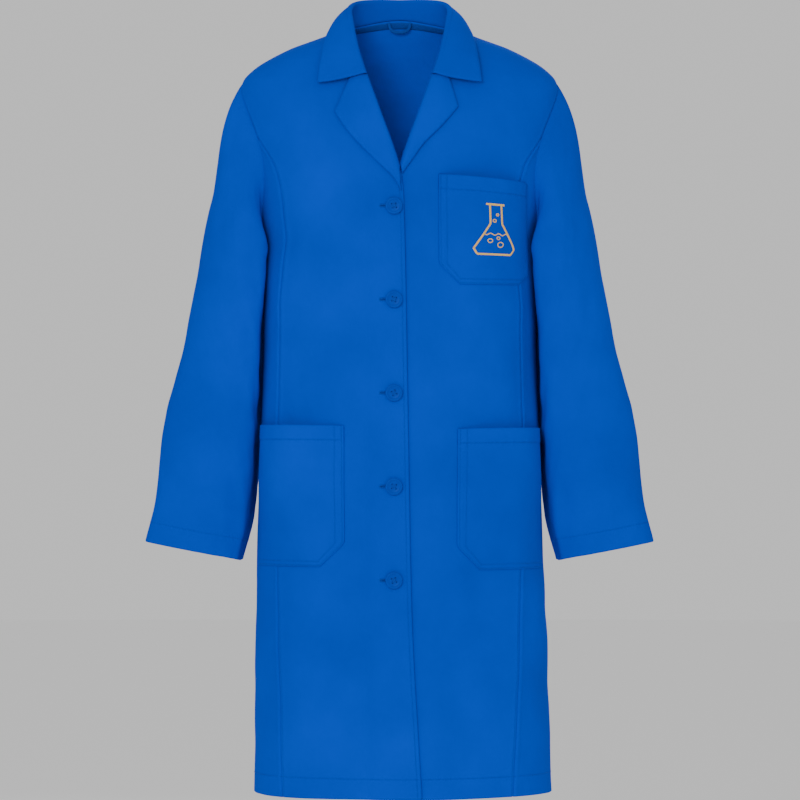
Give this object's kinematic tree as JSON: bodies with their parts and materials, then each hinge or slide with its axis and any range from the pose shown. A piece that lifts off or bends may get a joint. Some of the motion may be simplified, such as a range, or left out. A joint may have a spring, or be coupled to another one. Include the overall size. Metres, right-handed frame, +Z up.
{
  "type": "lab coat",
  "caption": "Knee-length laboratory coat with notched collar, buttoned front, patch pockets and loose sleeves, shaped as if worn.",
  "frame": {"origin": "centre back of the neck seam, where the hanging loop holds the coat", "axes": "+Z up towards the collar, -Y out of the buttoned front, +X towards the wearer's left sleeve"},
  "size_m": [0.662, 0.2803, 1.0314],
  "materials": {
    "cloth": "woven twill, dyed blue",
    "inside_cloth": "woven twill, inside face",
    "button": "moulded, smooth",
    "button_thread": "polyester sewing thread",
    "buttonhole_thread": "polyester sewing thread, zigzag",
    "gold_thread": "embroidery thread"
  },
  "bodies": {
    "coat_body": {"back_panel": "cloth", "collar_stand": "inside_cloth", "collar_fall": "cloth", "neck_tape": "inside_cloth", "left_front_upper": "cloth", "left_side_panel_underarm": "cloth", "left_side_panel_back": "cloth", "left_sleeve_cap": "cloth", "left_lapel": "cloth", "right_front_upper": "cloth", "right_side_panel_underarm": "cloth", "right_side_panel_back": "cloth", "right_sleeve_cap": "cloth", "right_lapel": "cloth", "chest_pocket": "cloth", "chest_emblem": "gold_thread"},
    "left_front": {"left_front_lower": "cloth", "left_front_facing": "inside_cloth", "left_side_panel_front": "cloth", "left_lower_pocket": "cloth", "button_1": "button", "button_2": "button", "button_3": "button", "button_4": "button", "button_5": "button", "button_thread_1": "button_thread", "button_thread_2": "button_thread", "button_thread_3": "button_thread", "button_thread_4": "button_thread", "button_thread_5": "button_thread"},
    "right_front": {"right_front_lower": "cloth", "right_front_facing": "inside_cloth", "right_side_panel_front": "cloth", "right_lower_pocket": "cloth", "buttonhole_stitching_1": "buttonhole_thread", "buttonhole_stitching_2": "buttonhole_thread", "buttonhole_stitching_3": "buttonhole_thread", "buttonhole_stitching_4": "buttonhole_thread", "buttonhole_stitching_5": "buttonhole_thread"},
    "left_sleeve_part": {"left_sleeve": "cloth"},
    "right_sleeve_part": {"right_sleeve": "cloth"},
    "loop": {"hanging_loop": "cloth"}
  },
  "joints": [
    {"name": "left_front_open", "type": "hinge", "parent": "coat_body", "child": "left_front", "pos_m": [0.1779, -0.05, -0.354], "axis": [-0.0245, 0, 0.9997], "range_deg": [0, 25]},
    {"name": "right_front_open", "type": "hinge", "parent": "coat_body", "child": "right_front", "pos_m": [-0.1779, -0.05, -0.354], "axis": [-0.0245, 0, -0.9997], "range_deg": [0, 25]},
    {"name": "left_sleeve_lift", "type": "hinge", "parent": "coat_body", "child": "left_sleeve_part", "pos_m": [0.246, -0.048, -0.2335], "axis": [0, -1, 0], "range_deg": [0, 40]},
    {"name": "right_sleeve_lift", "type": "hinge", "parent": "coat_body", "child": "right_sleeve_part", "pos_m": [-0.246, -0.048, -0.2335], "axis": [0, 1, 0], "range_deg": [0, 40]},
    {"name": "hanging_loop_flip", "type": "hinge", "parent": "coat_body", "child": "loop", "pos_m": [0, -0.0046, -0.0028], "axis": [-1, 0, 0], "range_deg": [0, 150]}
  ]
}
